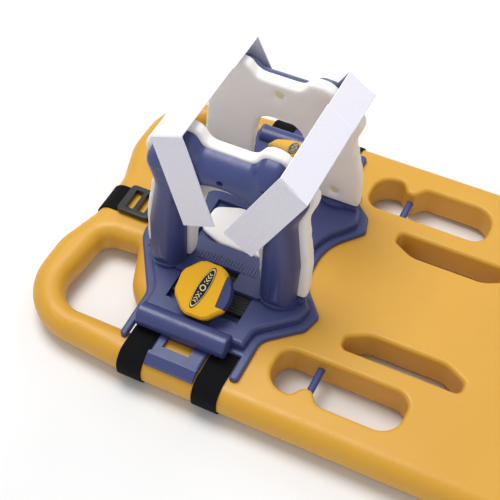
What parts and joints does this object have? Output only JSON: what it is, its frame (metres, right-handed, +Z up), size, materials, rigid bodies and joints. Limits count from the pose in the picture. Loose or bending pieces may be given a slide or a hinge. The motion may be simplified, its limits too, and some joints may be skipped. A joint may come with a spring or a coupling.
{
  "type": "spine board with head immobiliser",
  "caption": "Long spine board with hand holes and strap pins, carrying a strapped-on head immobiliser whose padded blocks slide in and lock with pull knobs.",
  "frame": {"origin": "on the floor under the middle of the board's outline", "axes": "+X from the head end to the foot end, +Y towards the patient's left, +Z up"},
  "size_m": [1.83, 0.41, 0.2531],
  "materials": {
    "board_yellow": "satin",
    "core_foam": "matte",
    "rod_composite": "matte",
    "pin_plastic": "satin",
    "base_blue": "satin",
    "shell_blue": "satin",
    "carriage_blue": "satin",
    "pad_cream": "matte",
    "knob_yellow": "satin",
    "knob_blue": "satin",
    "label_black": "satin",
    "housing_dark": "satin",
    "rack_dark": "matte",
    "steel": "satin",
    "stud_plastic": "matte",
    "strap_white": "matte",
    "webbing_black": "matte",
    "buckle_black": "satin"
  },
  "bodies": {
    "board": {"board_shell": "board_yellow", "foam_core": "core_foam", "stiffener_rods": "rod_composite", "strap_pins": "pin_plastic", "base_plate": "base_blue", "head_pad": "pad_cream", "base_strap_head_side": "webbing_black", "base_strap_foot_side": "webbing_black", "head_end_strap": "webbing_black", "head_end_buckle": "buckle_black", "side_bar_right": "base_blue", "side_bar_left": "base_blue", "knob_housing_right": "housing_dark", "knob_housing_left": "housing_dark"},
    "block_right": {"block_shell_right": "shell_blue", "block_pad_right": "pad_cream", "pad_studs_right": "stud_plastic", "block_carriage_right": "carriage_blue", "brake_rack_right": "rack_dark", "rack_screws_right": "steel", "forehead_strap_right": "strap_white", "chin_strap_right": "strap_white"},
    "knob_right": {"knob_cap_right": "knob_yellow", "knob_drum_right": "knob_blue", "knob_label_right": "label_black", "knob_stem_right": "steel"},
    "block_left": {"block_shell_left": "shell_blue", "block_pad_left": "pad_cream", "pad_studs_left": "stud_plastic", "block_carriage_left": "carriage_blue", "brake_rack_left": "rack_dark", "rack_screws_left": "steel", "forehead_strap_left": "strap_white", "chin_strap_left": "strap_white"},
    "knob_left": {"knob_cap_left": "knob_yellow", "knob_drum_left": "knob_blue", "knob_label_left": "label_black", "knob_stem_left": "steel"}
  },
  "joints": [
    {"name": "block_right_slide", "type": "slide", "parent": "board", "child": "block_right", "axis": [0, -1, 0], "range_m": [0, 0.0325]},
    {"name": "block_left_slide", "type": "slide", "parent": "board", "child": "block_left", "axis": [0, -1, 0], "range_m": [0, 0.0325]},
    {"name": "knob_right_pull", "type": "slide", "parent": "board", "child": "knob_right", "axis": [0, -0.5, 0.866], "range_m": [0, 0.006]},
    {"name": "knob_left_pull", "type": "slide", "parent": "board", "child": "knob_left", "axis": [0, 0.5, 0.866], "range_m": [0, 0.006]}
  ]
}
